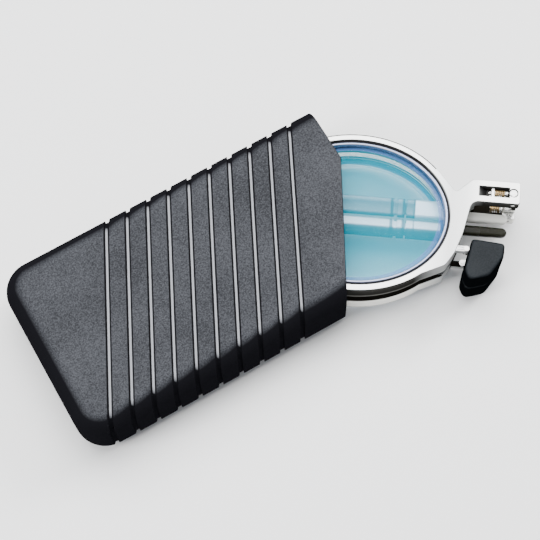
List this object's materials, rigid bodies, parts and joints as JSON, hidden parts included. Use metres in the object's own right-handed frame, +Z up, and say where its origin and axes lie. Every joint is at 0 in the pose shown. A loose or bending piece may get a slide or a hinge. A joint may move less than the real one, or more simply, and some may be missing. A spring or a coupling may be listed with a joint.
{
  "type": "pocket magnifying glasses in slip case",
  "caption": "Folded pocket magnifying glasses with telescopic temples, turned and half drawn out of the slanted mouth of a slim ribbed slip case.",
  "frame": {"origin": "centre of the slip case's underside", "axes": "+X along the case towards its mouth, +Y across the case, +Z up through both lenses"},
  "size_m": [0.1118, 0.0545, 0.016],
  "materials": {
    "case_plastic": "fine spark-eroded grain, smooth groove floors",
    "liner_felt": "short dark felt",
    "rim_metal": "polished, satin on the flat faces",
    "bezel_metal": "polished",
    "lens_glass": "clear, blue anti-reflection coating",
    "gasket_rubber": "satin black",
    "temple_metal": "fine brushed",
    "pin_steel": "turned steel",
    "spring_brass": "drawn wire",
    "tip_silicone": "translucent grey-green silicone",
    "pad_rubber": "soft satin, slate black"
  },
  "bodies": {
    "case": {"case_shell": "case_plastic", "case_upper_liner": "liner_felt", "case_lower_liner": "liner_felt"},
    "glasses": {"bridge_link": "rim_metal", "front_rim": "rim_metal", "front_lens_gasket": "gasket_rubber", "front_lens": "lens_glass", "front_bezel_ring": "bezel_metal", "front_bridge_pin": "pin_steel", "front_bridge_plunger": "pin_steel", "front_bridge_spring": "spring_brass", "front_temple_hinge": "temple_metal", "front_temple_screw": "pin_steel", "front_temple_sleeve": "temple_metal", "front_pad_arm": "rim_metal", "front_pad_screw": "pin_steel", "rear_rim": "rim_metal", "rear_lens_gasket": "gasket_rubber", "rear_lens": "lens_glass", "rear_bezel_ring": "bezel_metal", "rear_bridge_pin": "pin_steel", "rear_bridge_plunger": "pin_steel", "rear_bridge_spring": "spring_brass", "rear_temple_hinge": "temple_metal", "rear_temple_screw": "pin_steel", "rear_temple_sleeve": "temple_metal", "rear_pad_arm": "rim_metal", "rear_pad_screw": "pin_steel"},
    "front_temple_mid": {"front_temple_mid_stage": "temple_metal"},
    "front_temple_end": {"front_temple_inner_stage": "temple_metal", "front_temple_tip": "tip_silicone"},
    "front_pad": {"front_nose_pad": "pad_rubber", "front_pad_mount": "pin_steel"},
    "rear_temple_mid": {"rear_temple_mid_stage": "temple_metal"},
    "rear_temple_end": {"rear_temple_inner_stage": "temple_metal", "rear_temple_tip": "tip_silicone"},
    "rear_pad": {"rear_nose_pad": "pad_rubber", "rear_pad_mount": "pin_steel"}
  },
  "joints": [
    {"name": "glasses_slide", "type": "slide", "parent": "case", "child": "glasses", "axis": [1, 0, 0], "range_m": [0, 0.045]},
    {"name": "front_temple_mid_slide", "type": "slide", "parent": "glasses", "child": "front_temple_mid", "axis": [0.8161, -0.5779, 0], "range_m": [0, 0.022]},
    {"name": "front_temple_end_slide", "type": "slide", "parent": "front_temple_mid", "child": "front_temple_end", "axis": [0.8161, -0.5779, 0], "range_m": [0, 0.022]},
    {"name": "front_pad_rock", "type": "hinge", "parent": "glasses", "child": "front_pad", "pos_m": [0.05316, -0.0245, 0.012], "axis": [0, 0, 1], "range_deg": [-8, 8]},
    {"name": "rear_temple_mid_slide", "type": "slide", "parent": "glasses", "child": "rear_temple_mid", "axis": [0.8161, -0.5779, 0], "range_m": [0, 0.022]},
    {"name": "rear_temple_end_slide", "type": "slide", "parent": "rear_temple_mid", "child": "rear_temple_end", "axis": [0.8161, -0.5779, 0], "range_m": [0, 0.022]},
    {"name": "rear_pad_rock", "type": "hinge", "parent": "glasses", "child": "rear_pad", "pos_m": [0.05316, -0.0245, 0.004], "axis": [0, 0, 1], "range_deg": [-8, 8]}
  ]
}
